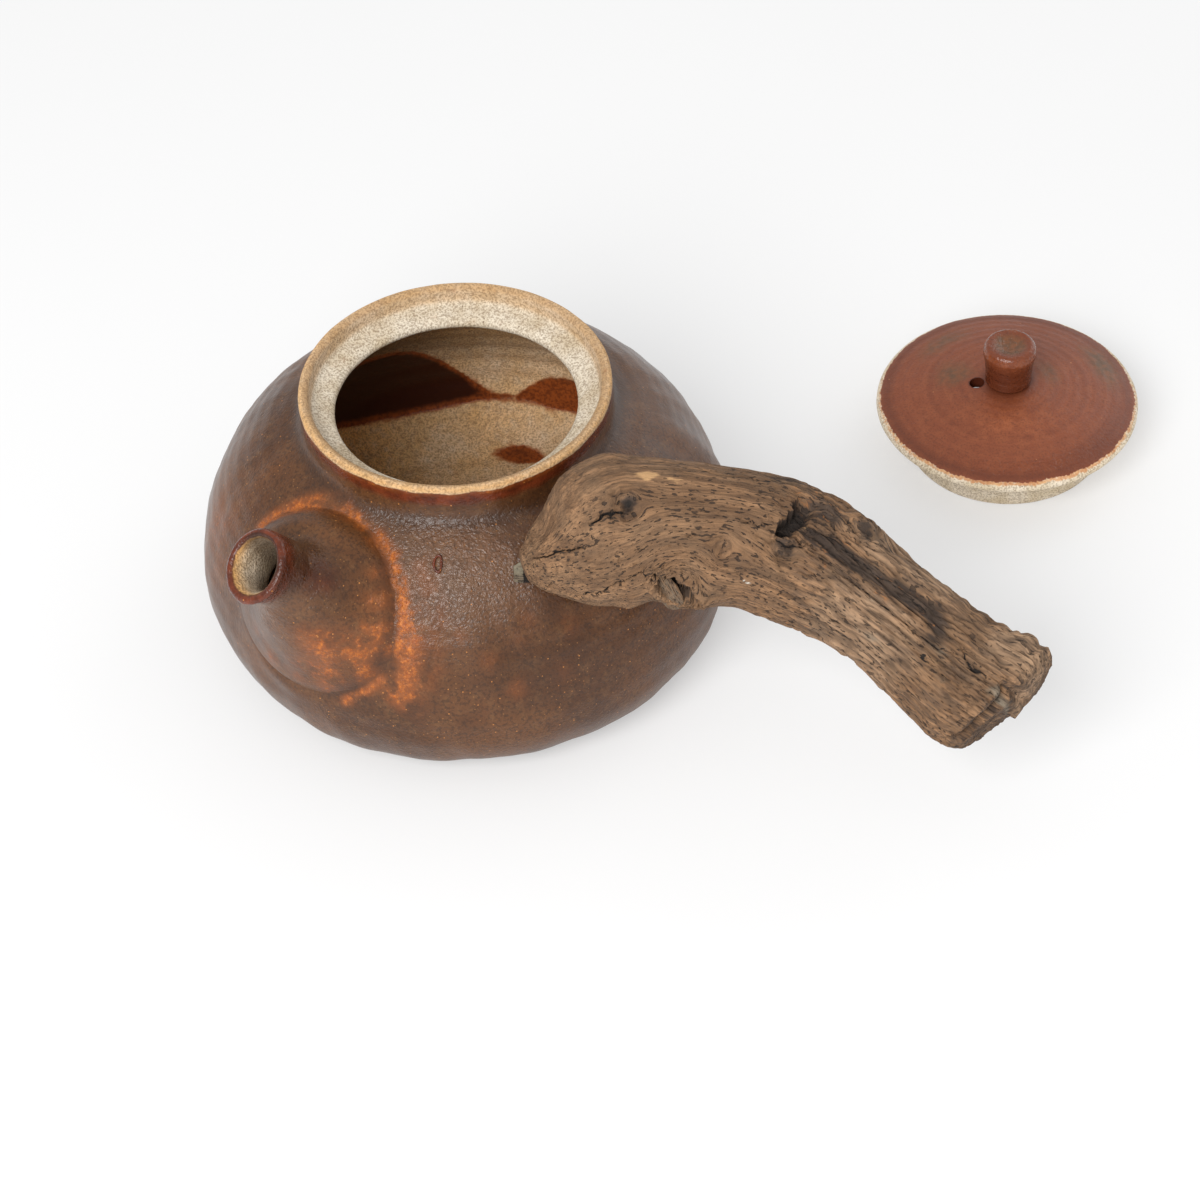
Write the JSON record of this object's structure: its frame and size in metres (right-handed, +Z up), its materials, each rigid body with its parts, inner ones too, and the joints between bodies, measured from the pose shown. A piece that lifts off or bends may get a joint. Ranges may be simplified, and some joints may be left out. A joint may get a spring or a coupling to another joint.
{
  "type": "side-handle teapot",
  "caption": "Squat thrown stoneware teapot with a flared side spout, a driftwood side handle and a flanged knob lid taken off beside it.",
  "frame": {"origin": "centre of the pot's flat base, on the table", "axes": "+Z up along the pot's own axis, +X towards the free end of the handle, -Y towards the spout's side of the pot"},
  "size_m": [0.2375, 0.1715, 0.0781],
  "materials": {
    "ash_glaze": "satin to glossy dark olive-brown ash glaze with orange flashing and fine specks",
    "red_glaze": "satin red-brown iron glaze, bare tan clay at the edge and flange",
    "bare_clay": "matte unglazed speckled stoneware",
    "driftwood": "matte weathered driftwood with open pores, cracks and a long dark groove",
    "wedge_wood": "matte grey-green weathered wood"
  },
  "bodies": {
    "pot": {"pot_body": "ash_glaze", "spout": "ash_glaze", "strainer": "bare_clay", "handle_tenon": "bare_clay", "handle_wedge": "wedge_wood", "driftwood_handle": "driftwood"},
    "lid": {"lid": "red_glaze", "lid_knob": "red_glaze"}
  },
  "joints": [
    {"name": "lid_lift", "type": "slide", "parent": "pot", "child": "lid", "axis": [0, 0, 1], "range_m": [0, 0.09]}
  ]
}
